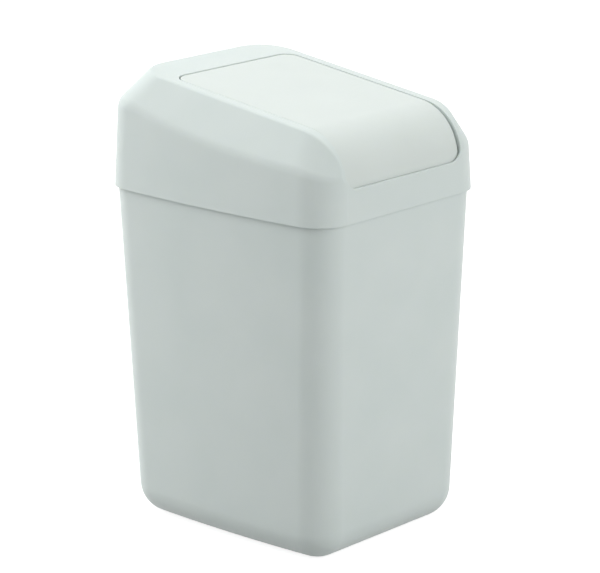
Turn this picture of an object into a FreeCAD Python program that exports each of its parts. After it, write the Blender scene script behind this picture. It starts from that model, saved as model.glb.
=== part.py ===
import FreeCAD, Part
import math
import os
from FreeCAD import Placement, Rotation, Vector

# Swing-lid kitchen bin of the 25 litre class, in millimetres.
# The origin lies on the floor under the middle of the bin, +Z is up,
# the flap's curved front faces -Y and the hinge line runs along X.
# Three mouldings: the tub, the hood that drops over its rim, and the flap.

# Tub
rim_height = 358.0           # top of the tub above the floor, hidden inside the hood
base_width = 227.0           # across the bowed sides at floor level, before the foot is rounded
base_depth = 267.5           # front to back at floor level
rim_width = 248.0            # across the bowed sides at the rim
rim_depth = 296.0            # front to back at the rim
side_bow = 3.0               # how far each side wall bulges beyond its corners
tub_corner = 33.0            # radius of the upright corners and of the foot, a ball where they meet
tub_wall = 2.4
tub_floor = 2.8
bead_height = 6.0            # stiffening bead round the inside of the rim
bead_stand = 0.8             # how far that bead stands in from the wall
kick_up = 2.0                # how far the floor panel is raised off the ground
foot_band = 12.0             # from the rounded foot in to the raised panel: the bin stands on this ring
panel_corner = 14.0          # corner radius of the raised floor panel
gate_pip_diameter = 5.0      # cold gate mark in the middle of the underside
gate_pip_height = 0.8

# Hood
hood_wall = 2.2
hood_overlap = 8.0           # how far the skirt reaches down over the tub's rim
skirt_gap = 1.3              # clear space between tub wall and skirt at the seam
skirt_draft = 2.5            # degrees that the skirt leans inwards as it rises
front_rise = 81.5            # from the seam up to the top plane, over the front wall's foot
top_slope = 7.9              # degrees that the top falls towards the front
front_arc = 54.0             # radius between the front wall and the top
ridge_side_inset = 29.3      # the edge between top and cheek lies this far inside the skirt's foot
ridge_back_inset = 26.2      # the same for the top's back edge
ridge_front_inset = 5.2      # the same for where the front corners of the top would end
ridge_corner = 48.0          # radius of the leaning corners between the cheeks, back and front
ridge_edge = 4.5             # radius of the edge between top and cheeks
crease_edge = 20.0           # radius of the soft crease between cheeks and skirt
cheek_angle = 36.0           # degrees that the cheeks lean in above the soft crease
back_angle = 36.0            # the same for the back
front_angle = 10.0           # the same for the front corners
seat_rib_thickness = 2.0
seat_rib_width = 6.0         # how far each seat rib stands in from the skirt
seat_rib_height = 18.0
side_seat_rib_count = 3
back_seat_rib_count = 2

# Flap opening in the hood
side_rail = 11.5             # width of the top left beside the opening
back_rail = 42.0             # depth of the top left behind it, along the slope
front_wall = 33.0            # from the seam up to the front wall's upper rim
opening_back_corner = 17.0
opening_low_corner = 15.0
lip_thickness = 2.0          # turned-down edge round the opening
lip_depth = 9.5
ledge_reach = 6.0            # shelf under the flap's back edge
ledge_thickness = 2.0

# Flap
flap_wall = 2.2
flap_gap = 1.5               # clear space between flap and opening, sides and back
flap_sink = 0.4              # the flap's top lies this much below the hood's top
flap_setback = 3.3           # the flap's foot lies this much behind the front wall
flap_overlap = 6.0           # the flap's foot hangs this much below the wall's rim
flap_low_corner = 12.0
flange_thickness = 2.0
flange_depth = 8.0
flap_rib_thickness = 1.6
flap_rib_depth = 5.0
flap_rib_spacing = 56.0
flap_rib_count = 3

# Hinge
hinge_behind_front = 91.2    # hinge line behind the front wall's foot
hinge_below_top = 13.0       # hinge line below the hood's top plane
pin_radius = 4.0
pin_clearance = 0.06         # radial, a free running fit
pin_reach = 3.0              # how far the pin stands out beyond its lug
pin_chamfer = 0.8
lug_radius = 9.0
lug_thickness = 2.5
lug_slot = 6.8               # snap-in slot under the hole, narrower than the pin
ear_radius = 7.5
ear_thickness = 3.0
shoulder_radius = 5.6        # ring round the pin that centres the flap
side_play = 0.3              # between that ring and the lug
seat_clearance = 0.3         # between flap and ledge when closed

# Small edge radii
opening_edge = 0.6
flap_edge = 0.7

# Cutting bodies
far = 600.0                  # longer than any part of the bin
reach_down = 150.0           # how far the hood's tapered blocks run below its top
roof_above = 20.0            # how far the leaning ones run above it
over = 5.0                   # how far a cutting body runs past what it cuts
skin_depth = 0.05            # an edge counts as lying on the outside down to this depth
plane_bite = 0.02            # the front profile cuts this deep, so that no two planes coincide
sharp = 8.0                  # degrees of turn from which an edge is one to round
square = 90.0                # degrees

slope = math.radians(top_slope)
draft = math.tan(math.radians(skirt_draft))
bow_reach = base_depth / 2 - tub_corner
bow_radius = (bow_reach ** 2 + side_bow ** 2) / (2 * side_bow)
bow_turn = math.asin(bow_reach / bow_radius)
bow_axis = base_width / 2 - bow_radius
seam_height = rim_height - hood_overlap
seam_share = seam_height / rim_height
skirt_stand = skirt_gap + hood_wall
skirt_width = base_width + (rim_width - base_width) * seam_share + 2 * skirt_stand
skirt_depth = base_depth + (rim_depth - base_depth) * seam_share + 2 * skirt_stand
skirt_corner = tub_corner + skirt_stand
front_y = -skirt_depth / 2
top_height = seam_height + front_rise - front_y * math.tan(slope)
ridge_half_width = skirt_width / 2 - ridge_side_inset
ridge_back = skirt_depth / 2 - ridge_back_inset
ridge_front = skirt_depth / 2 - ridge_front_inset
opening_half_width = ridge_half_width - side_rail
opening_back = ridge_back - back_rail
opening_low = seam_height + front_wall
hinge_y = front_y + hinge_behind_front
hinge_z = top_height + hinge_y * math.tan(slope) - hinge_below_top / math.cos(slope)
flap_half_width = opening_half_width - flap_gap
flap_back = opening_back - flap_gap
ledge_below = flap_sink + flange_depth + seat_clearance
lip_low = opening_low + opening_low_corner


def straight_block(lower, upper):
    """Solid with flat faces between two outlines that run the same way round."""
    faces = [Part.Face(Part.makePolygon(ring + ring[:1])) for ring in (lower[::-1], upper)]
    for place, corner in enumerate(lower):
        after = (place + 1) % len(lower)
        ring = [corner, lower[after], upper[after], upper[place], corner]
        faces.append(Part.Face(Part.makePolygon(ring)))
    return Part.Solid(Part.Shell(faces))


def bowed_corners(width, depth, height):
    """Plan outline of a bowed block with sharp corners and a straight line across each bow."""
    bow = width / 2 - bow_axis
    bow_x = bow_axis + bow * math.cos(bow_turn)
    bow_y = bow * math.sin(bow_turn)
    corner_x = bow_x - (depth / 2 - bow_y) * math.tan(bow_turn)
    right = [(corner_x, -depth / 2), (bow_x, -bow_y), (bow_x, bow_y), (corner_x, depth / 2)]
    left = [(-x, y) for x, y in reversed(right)]
    return [Vector(x, y, height) for x, y in right + left]


def bowed_block(lower, upper):
    """Tapered block with flat front and back and conical sides; each end is (width, depth, height)."""
    block = straight_block(bowed_corners(*lower), bowed_corners(*upper))
    height = upper[2] - lower[2]
    for side in (-1, 1):
        cone = Part.makeCone(lower[0] / 2 - bow_axis, upper[0] / 2 - bow_axis, height,
                             Vector(side * bow_axis, 0, lower[2]))
        near, away = [(x - bow_axis) * math.tan(bow_turn) for x in (0, far)]
        fan = [Vector(x * side, y, lower[2])
               for x, y in ((0, -near), (far, -away), (far, away), (0, near), (0, -near))]
        block = block.fuse(cone.common(Part.Face(Part.makePolygon(fan)).extrude(Vector(0, 0, height))))
    return block.removeSplitter()


def upright_corners(shape):
    """The four edges of a bowed block between its flat front or back and its sides."""
    low, high = shape.BoundBox.ZMin + over, shape.BoundBox.ZMax - over
    return [edge for edge in shape.Edges
            if edge.BoundBox.ZMin < low and edge.BoundBox.ZMax > high and turn_at(shape, edge) > square / 2]


def rounded_outline(half_width, front, back, corner):
    """Rounded rectangle in the XY plane with the same radius at its four corners."""
    diagonal = corner * (1 - math.sqrt(0.5))
    edges = []
    ends = [(half_width, front, 1, 1, 0), (half_width, back, 1, -1, 1),
            (-half_width, back, -1, -1, 0), (-half_width, front, -1, 1, 1)]
    points = []
    for x, y, side, inward, turned in ends:
        on_end = Vector(x - side * corner, y, 0)
        on_side = Vector(x, y + inward * corner, 0)
        middle = Vector(x - side * diagonal, y + inward * diagonal, 0)
        points.append((on_side, middle, on_end) if turned else (on_end, middle, on_side))
    for place, (start, middle, end) in enumerate(points):
        edges.append(Part.Arc(start, middle, end).toShape())
        edges.append(Part.LineSegment(end, points[(place + 1) % len(points)][0]).toShape())
    return Part.Wire(edges)


def on_top(shape):
    """Moves a shape from level coordinates onto the hood's sloping top plane."""
    tilt = Placement(Vector(0, 0, top_height), Rotation(Vector(1, 0, 0), top_slope))
    shape.Placement = tilt.multiply(shape.Placement)
    return shape


def tub_size(height, inset):
    """The tub's width, depth and height at a height, its walls moved inwards by an inset."""
    share = height / rim_height
    width = base_width + (rim_width - base_width) * share
    depth = base_depth + (rim_depth - base_depth) * share
    return width - 2 * inset, depth - 2 * inset, height


def tub_form(inset, bottom, top):
    """The tub's tapered form with its upright corners rounded."""
    block = bowed_block(tub_size(bottom, inset), tub_size(top, inset))
    return block.makeFillet(tub_corner - inset, upright_corners(block))


def footed_form(inset, bottom, top):
    """The same with its foot rounded too, with one radius, so that the lower corners are balls."""
    block = bowed_block(tub_size(bottom, inset), tub_size(top, inset))
    edges = upright_corners(block) + edges_at_height(block, bottom)
    return block.makeFillet(tub_corner - inset, edges)


def edges_at_height(shape, height):
    """Edges of a shape that lie wholly at one height."""
    return [edge for edge in shape.Edges
            if max(abs(edge.BoundBox.ZMin - height), abs(edge.BoundBox.ZMax - height)) < skin_depth]


def middle_of(edge):
    return edge.valueAt((edge.FirstParameter + edge.LastParameter) / 2)


def turn_at(shape, edge):
    """Angle in degrees between the two faces that meet at an edge."""
    middle = middle_of(edge)
    normals = []
    for face in shape.ancestorsOfType(edge, Part.Face):
        across, along = face.Surface.parameter(middle)
        normals.append(face.normalAt(across, along))
    return math.degrees(normals[0].getAngle(normals[-1]))


def round_sharp(shape, radius, wanted):
    """Rounds the sharp edges of a shape whose middles are wanted."""
    edges = [edge for edge in shape.Edges if wanted(middle_of(edge)) and turn_at(shape, edge) > sharp]
    return shape.makeFillet(radius, edges)


def floor_panel(growth, bottom, top):
    """Block under or in the raised floor panel, a rounded rectangle inside the foot band."""
    inset = tub_corner + foot_band - growth
    half_width = base_width / 2 - side_bow - inset
    half_depth = base_depth / 2 - inset
    wire = rounded_outline(half_width, -half_depth, half_depth, panel_corner + growth)
    wire.translate(Vector(0, 0, bottom))
    return Part.Face(wire).extrude(Vector(0, 0, top - bottom))


def tub():
    """The open tub: drafted bowed walls, rounded foot, raised floor panel and rim bead."""
    outside = footed_form(0, 0, rim_height)
    inside = footed_form(tub_wall, tub_floor, rim_height - bead_height)
    mouth = tub_form(tub_wall + bead_stand, rim_height - bead_height - over, rim_height + over)
    hollow = floor_panel(0, -over, kick_up)
    raised = floor_panel(tub_floor, tub_floor / 2, kick_up + tub_floor)
    shape = outside.cut(inside.cut(raised)).cut(mouth).cut(hollow)
    pip = Part.makeCylinder(gate_pip_diameter / 2, gate_pip_height + tub_floor / 2,
                            Vector(0, 0, kick_up - gate_pip_height))
    return shape.fuse(pip).removeSplitter()


def skirt_form(inset, bottom):
    """Upright walls of the hood, leaning inwards as they rise."""
    ends = []
    for height in (bottom, top_height + reach_down):
        shrink = inset + (height - seam_height) * draft
        ends.append((skirt_width - 2 * shrink, skirt_depth - 2 * shrink, height))
    block = bowed_block(*ends)
    return block.makeFillet(skirt_corner - inset, upright_corners(block))


def roof_form(inset):
    """The leaning cheeks, back and front corners, as a tapered block under the sloping top."""
    sides = ((ridge_half_width, math.radians(cheek_angle)),
             (ridge_front, math.radians(front_angle) + slope),
             (ridge_back, math.radians(back_angle) - slope))
    rings = []
    for below in (-roof_above, reach_down):
        reach = [size + below * math.tan(lean) - inset / math.cos(lean) for size, lean in sides]
        plan = [(reach[0], -reach[1]), (reach[0], reach[2]), (-reach[0], reach[2]), (-reach[0], -reach[1])]
        rings.append([Vector(x, y, -below) for x, y in plan])
    block = straight_block(rings[1], rings[0])
    corners = [edge for edge in block.Edges if edge.BoundBox.ZLength > reach_down]
    return on_top(block.makeFillet(ridge_corner - inset, corners))


def side_profile(top_inset, front_inset, arc_radius):
    """Block along X with the hood's side view: drafted front wall, arc and sloping top."""
    lean = math.radians(skirt_draft)
    wall = Vector(0, math.sin(lean), math.cos(lean))
    top = Vector(0, math.cos(slope), math.sin(slope))
    wall_point = Vector(0, front_y + front_inset / math.cos(lean), seam_height)
    top_point = Vector(0, 0, top_height - top_inset / math.cos(slope))
    wall_inward = Vector(0, wall.z, -wall.y)
    top_inward = Vector(0, top.z, -top.y)
    start = wall_point + wall_inward * arc_radius
    target = top_point + top_inward * arc_radius
    gap = target - start
    cross = wall.y * top.z - wall.z * top.y
    travel = (gap.y * top.z - gap.z * top.y) / cross
    centre = start + wall * travel
    arc_start = centre - wall_inward * arc_radius
    arc_end = centre - top_inward * arc_radius
    halfway = (wall_inward + top_inward).normalize()
    arc_middle = centre - halfway * arc_radius
    foot = arc_start - wall * reach_down
    back = arc_end + top * far
    under = Vector(0, back.y, foot.z)
    edges = [Part.LineSegment(foot, arc_start).toShape(),
             Part.Arc(arc_start, arc_middle, arc_end).toShape(),
             Part.LineSegment(arc_end, back).toShape(),
             Part.LineSegment(back, under).toShape(),
             Part.LineSegment(under, foot).toShape()]
    face = Part.Face(Part.Wire(edges))
    face.translate(Vector(-far / 2, 0, 0))
    return face.extrude(Vector(far, 0, 0))


def hood_form(inset):
    """The hood's form with sharp edges, moved inwards by an inset."""
    bottom = seam_height if inset == 0 else seam_height - over
    profile = side_profile(inset, inset + plane_bite, front_arc - inset)
    return skirt_form(inset, bottom).common(roof_form(inset)).common(profile)


def rounded_hood_form():
    """The hood's outer form with its soft crease and its ridge rounded."""
    form = hood_form(0)

    def on_ridge(point):
        below_top = top_height + point.y * math.tan(slope) - point.z
        return below_top < over or abs(point.x) < ridge_half_width

    def ridge(point):
        return point.z > seam_height + over and on_ridge(point)

    def crease(point):
        return point.z > seam_height + over and not on_ridge(point)

    form = round_sharp(form, crease_edge, crease)
    return round_sharp(form, ridge_edge, ridge)


def window(half_width, back, low, back_corner, low_corner):
    """Everything inside the flap's outline, seen square to the top and square to the front wall."""
    from_top = rounded_outline(half_width, -far, back, back_corner)
    from_top = Part.Face(from_top).extrude(Vector(0, 0, far))
    from_top.translate(Vector(0, 0, -far / 2))
    from_front = rounded_outline(half_width, low, far * 2, low_corner)
    from_front = Part.Face(from_front).extrude(Vector(0, 0, far * 2))
    from_front.Placement = Placement(Vector(0, far, 0), Rotation(Vector(1, 0, 0), 90))
    return on_top(from_top).common(from_front)


def opening(growth):
    """The flap opening in the hood, widened by a growth at its sides and back."""
    return window(opening_half_width + growth, opening_back + growth, opening_low,
                  opening_back_corner + growth, opening_low_corner + growth)


def under_skin(depth):
    """The band between the hood's outer top and front and a depth below them."""
    shallow = side_profile(hood_wall / 2, hood_wall / 2, front_arc - hood_wall / 2)
    return shallow.cut(side_profile(depth, depth, front_arc - depth))


def along_hinge(radius, start, length, side):
    """Cylinder on the hinge line, from a distance out from the middle, on one side."""
    return Part.makeCylinder(radius, length, Vector(side * start, hinge_y, hinge_z), Vector(side, 0, 0))


def upright_block(half_depth, start, length, side, bottom, top):
    """Block centred fore and aft on the hinge line, on one side."""
    corner = Vector(min(side * start, side * (start + length)), hinge_y - half_depth, bottom)
    return Part.makeBox(length, 2 * half_depth, top - bottom, corner)


def lug(side):
    """Plate that hangs from the hood beside the flap and takes the hinge pin."""
    plate = along_hinge(lug_radius, opening_half_width, lug_thickness, side)
    plate = plate.fuse(upright_block(lug_radius, opening_half_width, lug_thickness, side,
                                     hinge_z, top_height + over))
    brace_length = ridge_half_width - opening_half_width
    for edge in (-1, 1):
        brace = upright_block(lug_thickness / 2, opening_half_width, brace_length, side,
                              hinge_z - lug_radius, top_height + over)
        brace.translate(Vector(0, edge * (lug_radius - lug_thickness / 2), 0))
        plate = plate.fuse(brace)
    return plate


def lug_hole(side):
    """The pin's hole with its snap-in slot, open at the lug's lower end."""
    start, length = opening_half_width - over, lug_thickness + 2 * over
    hole = along_hinge(pin_radius + pin_clearance, start, length, side)
    slot = upright_block(lug_slot / 2, start, length, side, hinge_z - lug_radius - over, hinge_z)
    return hole.fuse(slot)


def ledge():
    """Shelf behind the opening that the flap's back edge rests on."""
    length = 2 * (opening_half_width - opening_back_corner)
    depth = ledge_reach + lip_thickness
    shelf = Part.makeBox(length, depth, ledge_thickness,
                         Vector(-length / 2, opening_back - ledge_reach, -ledge_below - ledge_thickness))
    return on_top(shelf)


def seat_rib(x, y, turn):
    """Upright rib inside the skirt whose lower end stands on the tub's rim."""
    rib = Part.makeBox(seat_rib_thickness, seat_rib_width * 2, seat_rib_height,
                       Vector(-seat_rib_thickness / 2, -seat_rib_width, rim_height))
    rib.Placement = Placement(Vector(x, y, 0), Rotation(Vector(0, 0, 1), turn))
    return rib


def spread(count, length):
    """Evenly spaced places along a length, centred on zero, half a space in from its ends."""
    return [(number - (count - 1) / 2) * length / count for number in range(count)]


def seat_ribs():
    """The seat ribs inside both sides and the back."""
    side_x = (rim_width - tub_wall) / 2
    back_y = (rim_depth - tub_wall) / 2
    ribs = [seat_rib(x, back_y, 0) for x in spread(back_seat_rib_count, rim_width - 2 * skirt_corner)]
    for y in spread(side_seat_rib_count, rim_depth - 2 * skirt_corner):
        ribs += [seat_rib(side_x, y, 90), seat_rib(-side_x, y, 90)]
    return ribs


def hood():
    """The hood: skirt, cheeks, sloping top and arc front, with the flap opening and its fittings."""
    outside = rounded_hood_form()
    shell = outside.cut(hood_form(hood_wall))
    below_skin = side_profile(skin_depth, skin_depth, front_arc - skin_depth)

    def round_opening(point):
        in_opening = abs(point.x) < opening_half_width + skin_depth and point.z > opening_low - skin_depth
        return in_opening and not below_skin.isInside(point, 0, False)

    shape = round_sharp(shell.cut(opening(0)), opening_edge, round_opening)
    lip_zone = Part.makeBox(far, far, far, Vector(-far / 2, -far / 2, lip_low))
    lip = under_skin(lip_depth).common(opening(lip_thickness)).common(outside).common(lip_zone)
    trim = side_profile(hood_wall / 2, hood_wall / 2, front_arc - hood_wall / 2).common(outside)
    shape = shape.fuse(lip.cut(opening(0))).fuse(ledge().common(trim))
    for side in (-1, 1):
        shape = shape.fuse(lug(side).common(trim)).cut(lug_hole(side))
    for rib in seat_ribs():
        shape = shape.fuse(rib.common(outside))
    return shape


def flap_form(inset):
    """The flap's side profile, set back behind the hood's front wall, moved inwards by an inset."""
    return side_profile(flap_sink + inset, flap_setback + inset, front_arc - inset)


def flap_window(inset):
    """The flap's outline, moved inwards by an inset."""
    return window(flap_half_width - inset, flap_back - inset, opening_low - flap_overlap + inset,
                  opening_back_corner - flap_gap - inset, flap_low_corner - inset)


def flap():
    """The flap: skin, turned-in flange all round, cross ribs, ears and hinge pins in one moulding."""
    below_skin = flap_form(skin_depth)

    def round_rim(point):
        return not below_skin.isInside(point, 0, False)

    top_side = round_sharp(flap_form(0).common(flap_window(0)), flap_edge, round_rim)
    skin = top_side.cut(flap_form(flap_wall))
    flange = top_side.cut(flap_form(flange_depth)).cut(flap_window(flange_thickness))
    shape = skin.fuse(flange)
    rib_zone = top_side.cut(flap_form(flap_rib_depth))
    for middle in spread(flap_rib_count, flap_rib_count * flap_rib_spacing):
        rib = Part.makeBox(flap_half_width * 2, flap_rib_thickness, far,
                           Vector(-flap_half_width, middle, top_height - far / 2))
        shape = shape.fuse(rib.common(rib_zone))
    for side in (-1, 1):
        start = flap_half_width - ear_thickness
        ear = along_hinge(ear_radius, start, ear_thickness, side)
        ear = ear.fuse(upright_block(ear_radius, start, ear_thickness, side, hinge_z, top_height + over))
        shape = shape.fuse(ear.common(top_side))
        shape = shape.fuse(along_hinge(shoulder_radius, start, ear_thickness + flap_gap - side_play, side))
        length = opening_half_width + lug_thickness + pin_reach - start
        pin = along_hinge(pin_radius, start, length, side)
        tip = [edge for edge in pin.Edges
               if abs(abs(edge.CenterOfMass.x) - start - length) < skin_depth]
        pin = pin.makeChamfer(pin_chamfer, tip)
        shape = shape.fuse(pin)
    return shape


if __name__ == "__main__":
    os.makedirs("parts", exist_ok=True)
    for name, shape in (("bin_body", tub()), ("hood", hood()), ("flap", flap())):
        box = shape.optimalBoundingBox()
        print(name, shape.isValid(), len(shape.Solids), round(shape.Volume / 1000, 1), "cm3",
              round(box.XLength, 2), round(box.YLength, 2), round(box.ZLength, 2), len(shape.Faces))
        shape.exportStep("parts/" + name + ".step")
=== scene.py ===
# %% [markdown]
# # A swing-lid kitchen bin
#
# The object is a kitchen bin of three plastic mouldings: a tapered tub, a hood that drops over the tub's
# rim, and a push flap in the hood's sloping top. The frame that is loaded first holds the same three pieces
# as plain engineering solids. Here the tub is modelled again with a modeller's own tools, and the hood and
# flap start from smooth copies of their solids, so that their curves are smooth and their edges catch the
# light, and each gets the finish of satin moulded plastic.

# %% Load the fixed frame
import bpy
import math
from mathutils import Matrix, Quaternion, Vector


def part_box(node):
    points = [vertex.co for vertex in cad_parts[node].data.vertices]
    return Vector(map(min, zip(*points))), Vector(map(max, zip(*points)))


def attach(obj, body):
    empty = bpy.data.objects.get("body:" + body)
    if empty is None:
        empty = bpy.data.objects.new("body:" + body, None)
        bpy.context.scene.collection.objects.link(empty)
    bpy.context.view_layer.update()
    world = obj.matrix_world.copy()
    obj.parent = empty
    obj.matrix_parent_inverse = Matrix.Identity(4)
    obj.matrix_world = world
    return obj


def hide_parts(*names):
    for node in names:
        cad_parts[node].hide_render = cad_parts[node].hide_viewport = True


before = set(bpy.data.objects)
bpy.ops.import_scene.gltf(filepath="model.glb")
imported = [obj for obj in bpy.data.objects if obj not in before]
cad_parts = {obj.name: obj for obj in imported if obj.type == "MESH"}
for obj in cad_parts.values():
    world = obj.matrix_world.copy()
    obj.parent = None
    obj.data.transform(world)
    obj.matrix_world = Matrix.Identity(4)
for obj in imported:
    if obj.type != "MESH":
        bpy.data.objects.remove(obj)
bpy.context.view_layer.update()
MM = 0.001

# %% [markdown]
# ## The camera
#
# The photograph was taken with a long lens from about three metres, a little above the bin and to its left,
# so that the left side and the curved front both show. The lens is written in millimetres on a 36 mm wide
# sensor. A photograph that was cropped after it was taken has its centre beside the middle of the picture,
# and the lens shift repeats that. A long lens makes upright edges nearly parallel, which a short one near
# the object would not.

# %% Camera
CAMERA_AZIMUTH = math.radians(-47.64)
CAMERA_ELEVATION = math.radians(16.12)
CAMERA_DISTANCE = 2955.9 * MM
CAMERA_TARGET = Vector((0, 0, 210 * MM))
CAMERA_ROLL = math.radians(-0.45)
SENSOR_WIDTH = 36.0
FOCAL_LENGTH = 173.2

towards_camera = Vector((math.sin(CAMERA_AZIMUTH) * math.cos(CAMERA_ELEVATION),
                         -math.cos(CAMERA_AZIMUTH) * math.cos(CAMERA_ELEVATION),
                         math.sin(CAMERA_ELEVATION)))
camera_turn = (-towards_camera).to_track_quat("-Z", "Y") @ Quaternion((0, 0, 1), CAMERA_ROLL)
bpy.ops.object.select_all(action="DESELECT")
bpy.ops.object.camera_add(location=CAMERA_TARGET + towards_camera * CAMERA_DISTANCE,
                          rotation=camera_turn.to_euler())
camera = bpy.context.object
camera.name = "photo_camera"
camera.data.sensor_fit = "HORIZONTAL"
camera.data.sensor_width = SENSOR_WIDTH
camera.data.lens = FOCAL_LENGTH
camera.data.shift_x = 0.0112
camera.data.shift_y = 0.0530
camera.data.clip_end = 60.0
bpy.context.scene.camera = camera
print("camera at", [round(value, 3) for value in camera.location])

# %% [markdown]
# ## One way to write a node
#
# Every finish below is a small graph of shader nodes. This one function adds a node, sets its values and
# joins its inputs, so that a graph reads as a list. Colours are written as the hex codes of a paint
# program, which are sRGB, and the second function turns them to the linear light that a renderer adds up.

# %% Node and colour helpers
def add_node(tree, kind, settings=(), links=()):
    """Adds a node; settings are its properties or input values, links join its inputs to other outputs."""
    node = tree.nodes.new(kind)
    for name, value in dict(settings).items():
        if name in node.inputs:
            node.inputs[name].default_value = value
        else:
            setattr(node, name, value)
    for name, output in dict(links).items():
        tree.links.new(output, node.inputs[name])
    return node


def linear(code):
    """Linear RGBA of a colour written as six hex digits of sRGB."""
    channels = [int(code[place:place + 2], 16) / 255 for place in (0, 2, 4)]
    return [c / 12.92 if c <= 0.04045 else ((c + 0.055) / 1.055) ** 2.4 for c in channels] + [1.0]


print("mid grey 808080 in linear light:", round(linear("808080")[0], 3))

# %% [markdown]
# ## Floor and background
#
# The bin stands before pure white. A white floor would throw so much light back up that the walls, which
# lean outwards as they rise, would look as bright as the skirt above them, and in the photograph they are
# clearly darker. So the floor is a pale grey paper for the soft light that it sends up, and only the rays
# that the camera sees, straight or mirrored in the satin plastic, meet it brightened to white. The soft
# shadow under the foot still shows. The world does the same for what lies past the floor.

# %% Floor and world
FLOOR_SIZE = 9.0
FLOOR_GLOW = 0.85
bpy.ops.object.select_all(action="DESELECT")
bpy.ops.mesh.primitive_plane_add(size=FLOOR_SIZE, location=(0, 0, 0))
floor = bpy.context.object
floor.name = "studio_floor"


def seen_rays(tree):
    """1 for the rays that show a surface to the camera, straight, mirrored or through, and 0 for the others."""
    rays = add_node(tree, "ShaderNodeLightPath")
    mirrored = add_node(tree, "ShaderNodeMath", {"operation": "MAXIMUM"},
                        {0: rays.outputs["Is Camera Ray"], 1: rays.outputs["Is Glossy Ray"]})
    through = add_node(tree, "ShaderNodeMath", {"operation": "MAXIMUM"},
                       {0: mirrored.outputs["Value"], 1: rays.outputs["Is Transmission Ray"]})
    return through.outputs["Value"]


paper = bpy.data.materials.new("Matt paper sweep")
paper.use_nodes = True
tree = paper.node_tree
tree.nodes.clear()
sheet = add_node(tree, "ShaderNodeBsdfDiffuse", {"Color": linear("B0B0B0")})
glow_amount = add_node(tree, "ShaderNodeMapRange", {"To Min": 0.0, "To Max": FLOOR_GLOW}, {"Value": seen_rays(tree)})
glow = add_node(tree, "ShaderNodeEmission", {"Color": linear("FFFFFF")},
                {"Strength": glow_amount.outputs["Result"]})
both = add_node(tree, "ShaderNodeAddShader", (), {0: sheet.outputs["BSDF"], 1: glow.outputs["Emission"]})
add_node(tree, "ShaderNodeOutputMaterial", (), {"Surface": both.outputs["Shader"]})
floor.data.materials.append(paper)

WORLD_LIGHT = 0.40
world = bpy.data.worlds.new("White studio")
bpy.context.scene.world = world
world.use_nodes = True
tree = world.node_tree
tree.nodes.clear()
strength = add_node(tree, "ShaderNodeMapRange", {"To Min": WORLD_LIGHT, "To Max": 1.0}, {"Value": seen_rays(tree)})
sky = add_node(tree, "ShaderNodeBackground", {"Color": linear("FFFFFF")},
               {"Strength": strength.outputs["Result"]})
add_node(tree, "ShaderNodeOutputWorld", (), {"Surface": sky.outputs["Background"]})
bpy.context.scene.view_settings.view_transform = "Standard"
print("floor and world ready, world strength", WORLD_LIGHT)

# %% [markdown]
# ## The lamps
#
# In the photograph the top is brightest, the curved front is a little brighter than the left side, and the
# upright corner that points at the camera is darkest. That is how large soft boxes look that stand to the
# sides and overhead, with none at the camera. An area lamp as large as a soft box gives the same slow
# gradients; a point lamp would draw a hard shadow that the photograph does not have. The powers were found
# by rendering the bin with one lamp at a time and mixing those pictures until their tones agreed. The
# plastic mirrors only the white room and not the lamps themselves, as in a white tent with the lamps
# outside it, so the flat top does not burn out when it is seen at a low angle.

# %% Lamps
LAMP_DISTANCE = 2.6
LAMP_SIZE = 2.4


def soft_box(name, azimuth, elevation, power):
    """Square area lamp that looks at the middle of the bin from a direction in degrees."""
    turn, rise = math.radians(azimuth), math.radians(elevation)
    away = Vector((math.sin(turn) * math.cos(rise), -math.cos(turn) * math.cos(rise), math.sin(rise)))
    bpy.ops.object.select_all(action="DESELECT")
    bpy.ops.object.light_add(type="AREA", location=CAMERA_TARGET + away * LAMP_DISTANCE,
                             rotation=(-away).to_track_quat("-Z", "Y").to_euler())
    lamp = bpy.context.object
    lamp.name = name
    lamp.data.shape = "SQUARE"
    lamp.data.size = LAMP_SIZE
    lamp.data.energy = power
    lamp.visible_glossy = False
    return lamp


soft_box("front_box", 15, 15, 38)
soft_box("high_left_box", -120, 50, 31)
soft_box("rear_box", -165, 15, 36)
soft_box("overhead_box", 132, 60, 29)

# %% [markdown]
# ## Modelling helpers
#
# A moulding like this starts as a block that is tapered so that it leaves its mould. A block is added at its
# size, its upper face is scaled for the taper, and its edges are rounded with the bevel tool. The helpers
# below do what a modeller does by hand: select by place, then press the bevel key. Radii are given as on a
# drawing. Where two faces turn by an angle, an arc of radius R starts R times the tangent of half that angle
# away from the edge, and the bevel tool's profile value is set so that its curve is that arc.

# %% Selecting in code
def alone(piece):
    """Makes a piece the only selected and the active object."""
    bpy.ops.object.select_all(action="DESELECT")
    piece.select_set(True)
    bpy.context.view_layer.objects.active = piece


def open_with(piece, kind, wanted):
    """Opens a piece for editing with the wanted parts selected; wanted gets each part's middle and itself."""
    alone(piece)
    mesh = piece.data
    bpy.context.tool_settings.mesh_select_mode = [kind == each for each in ("VERT", "EDGE", "FACE")]
    bpy.ops.object.mode_set(mode="EDIT")
    bpy.ops.mesh.select_all(action="DESELECT")
    bpy.ops.object.mode_set(mode="OBJECT")
    places = [vertex.co / MM for vertex in mesh.vertices]
    parts = {"VERT": mesh.vertices, "EDGE": mesh.edges, "FACE": mesh.polygons}[kind]
    count = 0
    for part in parts:
        corners = [places[part.index]] if kind == "VERT" else [places[corner] for corner in part.vertices]
        part.select = bool(wanted(sum(corners, Vector()) / len(corners), part))
        count += part.select
    bpy.ops.object.mode_set(mode="EDIT")
    return count


def close():
    bpy.ops.object.mode_set(mode="OBJECT")


# %% Blocks and rounded edges
def add_block(name, low, high):
    """Block between two corners given in mm, with its place in its mesh."""
    bpy.ops.object.select_all(action="DESELECT")
    low, high = Vector(low) * MM, Vector(high) * MM
    bpy.ops.mesh.primitive_cube_add(size=1, location=(low + high) / 2, scale=high - low)
    block = bpy.context.object
    block.name = name
    bpy.ops.object.transform_apply(location=True, rotation=True, scale=True)
    return block


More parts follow.
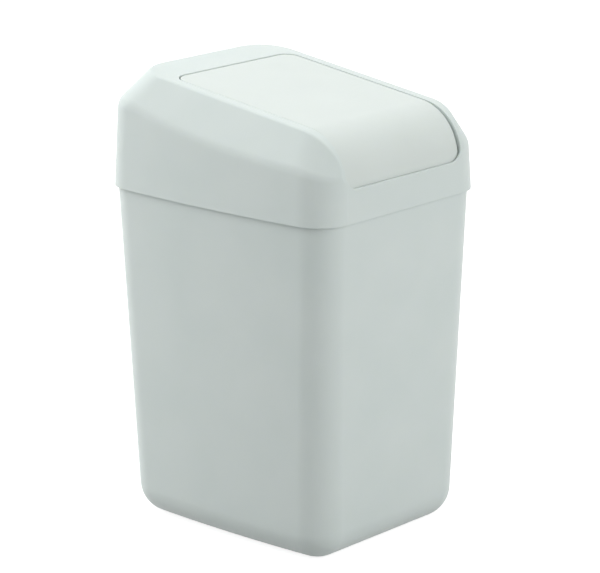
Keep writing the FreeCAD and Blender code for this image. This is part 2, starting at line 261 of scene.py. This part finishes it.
def place_corners(block, where):
    """Moves each corner of a block to the place, in mm, that a function gives for its old place."""
    for vertex in block.data.vertices:
        vertex.co = Vector(where(vertex.co / MM)) * MM


def arc_profile(turn):
    """Value of the bevel tool's profile that gives a true arc where the faces turn by an angle."""
    weight = math.cos(turn / 2)
    share = weight / (1 + weight)
    return ((1 + share) / 2) ** 2


def round_edges(piece, radius, turn, segments, wanted):
    """Rounds the wanted edges with a radius in mm, where their faces turn by about an angle in degrees."""
    turn = math.radians(turn)
    count = open_with(piece, "EDGE", wanted)
    bpy.ops.mesh.bevel(offset_type="OFFSET", offset=radius * math.tan(turn / 2) * MM, segments=segments,
                       profile=arc_profile(turn), affect="EDGES", clamp_overlap=False)
    close()
    return count


def combine(piece, other, operation):
    """Joins, cuts or intersects a piece with another one, which is used up."""
    alone(piece)
    step = piece.modifiers.new(operation.lower(), "BOOLEAN")
    step.operation = operation
    step.solver = "EXACT"
    step.object = other
    bpy.ops.object.modifier_apply(modifier=step.name)
    bpy.data.objects.remove(other, do_unlink=True)
    return piece


def clean(piece):
    """Merges doubled vertices and makes faces point outwards."""
    open_with(piece, "VERT", lambda middle, part: True)
    bpy.ops.mesh.remove_doubles(threshold=0.005 * MM)
    bpy.ops.mesh.normals_make_consistent(inside=False)
    close()


def turns(piece):
    """The angle in degrees by which the two faces of each edge turn, 0 where there are not two."""
    normals = {}
    for face in piece.data.polygons:
        for key in face.edge_keys:
            normals.setdefault(key, []).append(face.normal)
    found = []
    for edge in piece.data.edges:
        pair = normals.get(edge.key, ())
        found.append(math.degrees(pair[0].angle(pair[1], 0)) if len(pair) == 2 else 0.0)
    return found


def report_piece(piece):
    """Prints a piece's size, faces and open edges."""
    sides = [max(v.co[axis] for v in piece.data.vertices) - min(v.co[axis] for v in piece.data.vertices)
             for axis in range(3)]
    uses = {}
    for face in piece.data.polygons:
        for key in face.edge_keys:
            uses[key] = uses.get(key, 0) + 1
    odd = sum(1 for count in uses.values() if count != 2)
    print(piece.name, [round(side / MM, 2) for side in sides], len(piece.data.polygons), "faces", odd, "odd edges")

# %% [markdown]
# ## The tub
#
# The tub is one injection moulding in polypropylene. Its walls lean outwards so that it slides off its core
# and so that empty bins stack, its long sides bulge by 3 mm, which stops a thin flat wall from drumming or
# warping, and its lower corners are balls of one radius. A lattice or a subdivision surface would give the
# same soft look, but not an exact radius, so it is a tapered block with bevelled edges. The height, width
# and depth come from the frame. The foot of the walls is narrower by the mould's draft.

# %% Tub sizes in millimetres
tub_low, tub_high = (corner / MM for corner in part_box("bin_body"))
RIM_HEIGHT = tub_high.z
RIM_WIDTH = tub_high.x - tub_low.x
RIM_DEPTH = tub_high.y - tub_low.y
BASE_WIDTH = 227.0
BASE_DEPTH = 267.5
SIDE_BOW = 3.0
TUB_CORNER = 33.0
TUB_WALL = 2.4
BOW_REACH = BASE_DEPTH / 2 - TUB_CORNER
BOW_RADIUS = (BOW_REACH ** 2 + SIDE_BOW ** 2) / (2 * SIDE_BOW)
BOW_TURN = math.asin(BOW_REACH / BOW_RADIUS)
print("tub:", round(RIM_WIDTH, 1), "x", round(RIM_DEPTH, 1), "x", round(RIM_HEIGHT, 1), "mm, bow radius",
      round(BOW_RADIUS))

# %% The tapered block with bulging sides
NEAR = 1.0
BOW_STEPS = 24


def stretch(across, along):
    """Scales what is selected about the middle of the bin."""
    bpy.ops.transform.resize(value=(across, along, 1), center_override=(0, 0, 0))


def bowed_block(name, lower, upper):
    """Tapered block with bulging sides; each end is its (width, depth, height) in mm."""
    plans = []
    for width, depth, height in (lower, upper):
        radius = BOW_RADIUS + (width - BASE_WIDTH) / 2
        crest = width / 2 + radius * (1 / math.cos(BOW_TURN) - 1)
        plans.append((crest, crest - depth / 2 * math.tan(BOW_TURN), depth, height))
    (_, corner, depth, bottom), (_, far_corner, far_depth, top) = plans
    block = add_block(name, (-corner, -depth / 2, bottom), (corner, depth / 2, top))
    open_with(block, "FACE", lambda middle, face: middle.z > top - NEAR)
    stretch(far_corner / corner, far_depth / depth)
    close()
    open_with(block, "FACE", lambda middle, face: abs(face.normal.x) > 0.9)
    bpy.ops.mesh.bisect(plane_co=(0, 0, 0), plane_no=(0, 1, 0))
    close()
    for crest, side, _, height in plans:
        open_with(block, "VERT", lambda middle, part: abs(middle.y) < NEAR and abs(middle.z - height) < NEAR)
        stretch(crest / side, 1)
        close()
    waist = (bottom + top) / 2
    round_edges(block, BOW_RADIUS, math.degrees(2 * BOW_TURN), BOW_STEPS,
                lambda middle, edge: abs(middle.y) < NEAR and abs(middle.z - waist) < NEAR)
    return block


def is_upright_corner(block):
    """A test for the four edges between a bowed block's sides and its flat ends."""
    heights = [vertex.co.z / MM for vertex in block.data.vertices]
    waist = (min(heights) + max(heights)) / 2
    deep = max(vertex.co.y for vertex in block.data.vertices) / MM
    return lambda middle, edge: abs(middle.z - waist) < NEAR and abs(middle.y) > deep * 0.8


# %% Tub walls and ball corners
CORNER_STEPS = 18
CORNER_TURN = 88.0

tub = bowed_block("tub", (BASE_WIDTH, BASE_DEPTH, 0), (RIM_WIDTH, RIM_DEPTH, RIM_HEIGHT))
upright = is_upright_corner(tub)
rounded = round_edges(tub, TUB_CORNER, CORNER_TURN, CORNER_STEPS,
                      lambda middle, edge: upright(middle, edge) or middle.z < NEAR)
print("edges rounded at the tub's corners and foot:", rounded)

# %% [markdown]
# ### Wall, raised floor and rim
#
# The upper face goes, and a Solidify modifier gives the walls their thickness inwards, which keeps the outer
# size. A flat underside would rock, so the bin stands on a ring and the panel inside it is raised by 2 mm:
# a block with rounded corners is cut out of the underside, and a larger one is joined on inside, so that the
# floor keeps its thickness. Round the inside of the rim runs a small bead that stiffens it: the uppermost
# band of the inner wall, pushed inwards.

# %% Wall thickness
open_with(tub, "FACE", lambda middle, face: face.normal.z > 0.99 and middle.z > RIM_HEIGHT - NEAR)
bpy.ops.mesh.delete(type="FACE")
close()
alone(tub)
wall = tub.modifiers.new("wall", "SOLIDIFY")
wall.thickness = TUB_WALL * MM
wall.offset = -1
wall.use_even_offset = True
bpy.ops.object.modifier_apply(modifier=wall.name)

# %% Raised floor panel
FOOT_BAND = 12.0
PANEL_CORNER = 14.0
PANEL_CORNER_STEPS = 8
KICK_UP = 2.0
TUB_FLOOR = 2.8
RIGHT_ANGLE = 90.0
PANEL_WIDTH = BASE_WIDTH / 2 - SIDE_BOW - TUB_CORNER - FOOT_BAND
PANEL_DEPTH = BASE_DEPTH / 2 - TUB_CORNER - FOOT_BAND


def floor_panel(name, growth, bottom, top):
    """Block with rounded upright corners that covers the raised panel, larger all round by a growth."""
    wide, deep = PANEL_WIDTH + growth, PANEL_DEPTH + growth
    block = add_block(name, (-wide, -deep, bottom), (wide, deep, top))
    waist = (bottom + top) / 2
    round_edges(block, PANEL_CORNER + growth, RIGHT_ANGLE, PANEL_CORNER_STEPS,
                lambda middle, edge: abs(middle.z - waist) < 0.1)
    return block


combine(tub, floor_panel("raised floor", TUB_FLOOR, TUB_FLOOR / 2, KICK_UP + TUB_FLOOR), "UNION")
combine(tub, floor_panel("underside hollow", 0, -KICK_UP, KICK_UP), "DIFFERENCE")

# %% Rim bead
BEAD_HEIGHT = 6.0
BEAD_STAND = 0.8


def faces_inwards(middle, face):
    """True on the inner side of an upright wall."""
    return face.normal.xy.dot(Vector(middle).xy) < 0 and abs(face.normal.z) < 0.3


bead_low = RIM_HEIGHT - BEAD_HEIGHT
open_with(tub, "FACE", lambda middle, face: faces_inwards(middle, face) and middle.z > RIM_HEIGHT / 4)
bpy.ops.mesh.bisect(plane_co=(0, 0, bead_low * MM), plane_no=(0, 0, 1))
close()
open_with(tub, "FACE", lambda middle, face: faces_inwards(middle, face) and middle.z > bead_low)
bpy.ops.mesh.extrude_region_shrink_fatten(TRANSFORM_OT_shrink_fatten={"value": BEAD_STAND * MM})
close()

# %% Level and soft rim
RIM_EDGE = 0.5
open_with(tub, "VERT", lambda middle, part: middle.z > RIM_HEIGHT - RIM_EDGE)
bpy.ops.transform.resize(value=(1, 1, 0), center_override=(0, 0, RIM_HEIGHT * MM))
close()
clean(tub)
rim_turns = turns(tub)
soft = round_edges(tub, RIM_EDGE, RIGHT_ANGLE, 2,
                   lambda middle, edge: middle.z > RIM_HEIGHT - 0.01 and rim_turns[edge.index] > 45)
print("rim edges softened:", soft)

# %% [markdown]
# ### Gate mark
#
# The plastic enters the mould at one point in the middle of the floor, and the cut-off sprue leaves a small
# round pip there. It is a cylinder joined to the underside.

# %% Gate mark
PIP_DIAMETER = 5.0
PIP_HEIGHT = 0.8
bpy.ops.object.select_all(action="DESELECT")
bpy.ops.mesh.primitive_cylinder_add(vertices=32, radius=PIP_DIAMETER / 2 * MM,
                                    depth=(PIP_HEIGHT + TUB_FLOOR / 2) * MM,
                                    location=(0, 0, (KICK_UP - PIP_HEIGHT / 2 + TUB_FLOOR / 4) * MM))
pip = bpy.context.object
bpy.ops.object.transform_apply(location=True, rotation=True, scale=True)
combine(tub, pip, "UNION")
clean(tub)
report_piece(tub)

# %% [markdown]
# ## The hood and the flap
#
# The hood is a separate moulding that drops over the tub's rim: an upright skirt, cheeks that lean in above
# it, a top that slopes to the front and rolls over into the front wall, and an opening in which the push
# flap hangs on two pins. Behind the visible faces it has seat ribs, a lip round the opening and the two
# pivots. The frame's solids already have these forms, with true cones, cylinders and flat faces, so the
# pieces start from copies of them. Rebuilt with the bevel tool, the soft crease and the tight ridge run out
# into each other at the front corners, and bevels of two sizes fold there. A frame solid's mesh is loose
# triangles, so a copy is merged first, and then pairs of triangles that lie flat become quads, so that
# smooth shading has clean faces to work with.

# %% Smooth copy of a frame node
def smooth_copy(node_name, name):
    """Copy of a frame solid with its triangles merged into clean faces."""
    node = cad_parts[node_name]
    piece = bpy.data.objects.new(name, node.data.copy())
    bpy.context.scene.collection.objects.link(piece)
    open_with(piece, "VERT", lambda middle, part: True)
    bpy.ops.mesh.remove_doubles(threshold=0.002 * MM)
    bpy.ops.mesh.tris_convert_to_quads(face_threshold=math.radians(2), shape_threshold=math.radians(60))
    close()
    return piece


hood = smooth_copy("hood", "hood_moulding")
report_piece(hood)
flap = smooth_copy("flap", "flap_moulding")
report_piece(flap)

# %% [markdown]
# ### The turned-down edge
#
# Round the flap the hood's skin is turned down by 9.5 mm, which stiffens the opening and hides the inside of
# the bin from view. The frame's solid ends that edge where the lower corners of the opening begin, and
# through the 1.5 mm gap there a camera looks past it into the dark. So the edge runs on straight down beside
# the flap: a small block on each side, joined on behind the front wall, where it also stays clear of the
# flap as it swings.

# %% Turned-down edge beside the flap
OPENING_HALF_WIDTH = 86.465
LIP_THICKNESS = 2.0
LIP_DEPTH = 9.5
LIP_FRONT = -147.3
LIP_TOP = 399.0
LIP_FOOT = 384.0

for side in (-1, 1):
    edges = sorted((side * OPENING_HALF_WIDTH, side * (OPENING_HALF_WIDTH + LIP_THICKNESS)))
    strip = add_block("edge strip", (edges[0], LIP_FRONT, LIP_FOOT), (edges[1], LIP_FRONT + LIP_DEPTH - 0.3, LIP_TOP))
    combine(hood, strip, "UNION")
clean(hood)
report_piece(hood)

# %% [markdown]
# ## Moulded polypropylene
#
# Bins like this are moulded in polypropylene with a little white and green-grey colourant in it. The mould's
# faces are spark-eroded to a fine satin grain, so the highlights are broad and soft, and the resin lets
# light about 2.5 mm into its surface, which softens the shade in the gaps and along thin edges. A real grain
# is about 0.1 mm, too fine for a picture of the whole bin, so it is drawn at 0.9 mm. Two slower waves stand
# for what moulding adds: a faint cloudiness of the colour, and the slight unevenness of a thin wall that has
# shrunk. Handling leaves a few hair scuffs that show only in the gloss. A single flat colour would look like
# paint in a drawing.

# %% Polypropylene finish
RESIN_IOR = 1.49
GRAIN_MM = 0.9
CLOUD_MM = 70.0
WAVE_MM = 45.0
SCUFF_MM = 12.0
GLOW_MM = 2.5


def polypropylene(name, light, shade, roughness, grain_height=0.09):
    """Satin moulded polypropylene whose colour drifts between two hex colours."""
    resin = bpy.data.materials.new(name)
    resin.use_nodes = True
    tree = resin.node_tree
    tree.nodes.clear()
    place = add_node(tree, "ShaderNodeTexCoord").outputs["Object"]
    cloud = add_node(tree, "ShaderNodeTexNoise", {"Scale": 1 / (CLOUD_MM * MM), "Detail": 3.0, "Roughness": 0.45},
                     {"Vector": place})
    colour = add_node(tree, "ShaderNodeValToRGB", (), {"Fac": cloud.outputs["Fac"]})
    low, high = colour.color_ramp.elements
    low.position, low.color = 0.30, linear(shade)
    high.position, high.color = 0.70, linear(light)
    scuff_place = add_node(tree, "ShaderNodeMapping", {"Rotation": (0.4, 0.2, 0.9), "Scale": (1.0, 14.0, 14.0)},
                           {"Vector": place})
    scuff = add_node(tree, "ShaderNodeTexNoise", {"Scale": 1 / (SCUFF_MM * MM), "Detail": 4.0},
                     {"Vector": scuff_place.outputs["Vector"]})
    gloss = add_node(tree, "ShaderNodeMapRange",
                     {"From Min": 0.35, "From Max": 0.75, "To Min": roughness + 0.03, "To Max": roughness - 0.07},
                     {"Value": scuff.outputs["Fac"]})
    grain = add_node(tree, "ShaderNodeTexNoise", {"Scale": 1 / (GRAIN_MM * MM), "Detail": 2.0, "Roughness": 0.6},
                     {"Vector": place})
    wave = add_node(tree, "ShaderNodeTexNoise", {"Scale": 1 / (WAVE_MM * MM), "Detail": 1.0}, {"Vector": place})
    uneven = add_node(tree, "ShaderNodeBump", {"Strength": 1.0, "Distance": 0.10 * MM},
                      {"Height": wave.outputs["Fac"]})
    surface = add_node(tree, "ShaderNodeBump", {"Strength": 1.0, "Distance": grain_height * MM},
                       {"Height": grain.outputs["Fac"], "Normal": uneven.outputs["Normal"]})
    shader = add_node(tree, "ShaderNodeBsdfPrincipled",
                      {"IOR": RESIN_IOR, "Subsurface Weight": 0.25, "Subsurface Radius": (1.0, 1.0, 0.8),
                       "Subsurface Scale": GLOW_MM * MM},
                      {"Base Color": colour.outputs["Color"], "Roughness": gloss.outputs["Result"],
                       "Normal": surface.outputs["Normal"]})
    add_node(tree, "ShaderNodeOutputMaterial", (), {"Surface": shader.outputs["BSDF"]})
    return resin


def finish_piece(piece, name, resin):
    """Smooths a piece's curves, keeps its real edges sharp and gives it its material."""
    alone(piece)
    piece.name = name
    bpy.ops.object.shade_smooth_by_angle(angle=math.radians(28))
    even = piece.modifiers.new("flat faces stay flat", "WEIGHTED_NORMAL")
    even.keep_sharp = True
    bpy.ops.object.modifier_apply(modifier=even.name)
    piece.data.materials.clear()
    piece.data.materials.append(resin)


tub_resin = polypropylene("Moulded polypropylene tub", "D4DDDA", "D0DAD7", 0.46)
hood_resin = polypropylene("Moulded polypropylene hood", "D4DDDA", "D0DAD7", 0.44)
# The flap's two colours are its own resin tint made a touch more neutral than the hood's. That shift is painted
# sheen, standing in for the whitish look of its brightly lit top.
flap_resin_and_sheen = polypropylene("Moulded polypropylene flap with painted sheen", "D5DDD9", "D2DAD6", 0.42)
print("materials:", [item.name for item in bpy.data.materials if "polypropylene" in item.name])

# %% [markdown]
# ## Finish each piece and let it move
#
# Each new piece now takes the place of its plain solid in the frame. It rides on the body of that solid, so
# the hood lifts off with its flap and the flap swings about its pins, and it gets its own finish.

# %% Finish and ride
finish_piece(tub, "tub_moulding", tub_resin)
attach(tub, "bin_body"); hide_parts("bin_body")
finish_piece(hood, "hood_moulding", hood_resin)
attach(hood, "hood"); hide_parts("hood")
finish_piece(flap, "flap_moulding", flap_resin_and_sheen)
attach(flap, "flap"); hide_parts("flap")
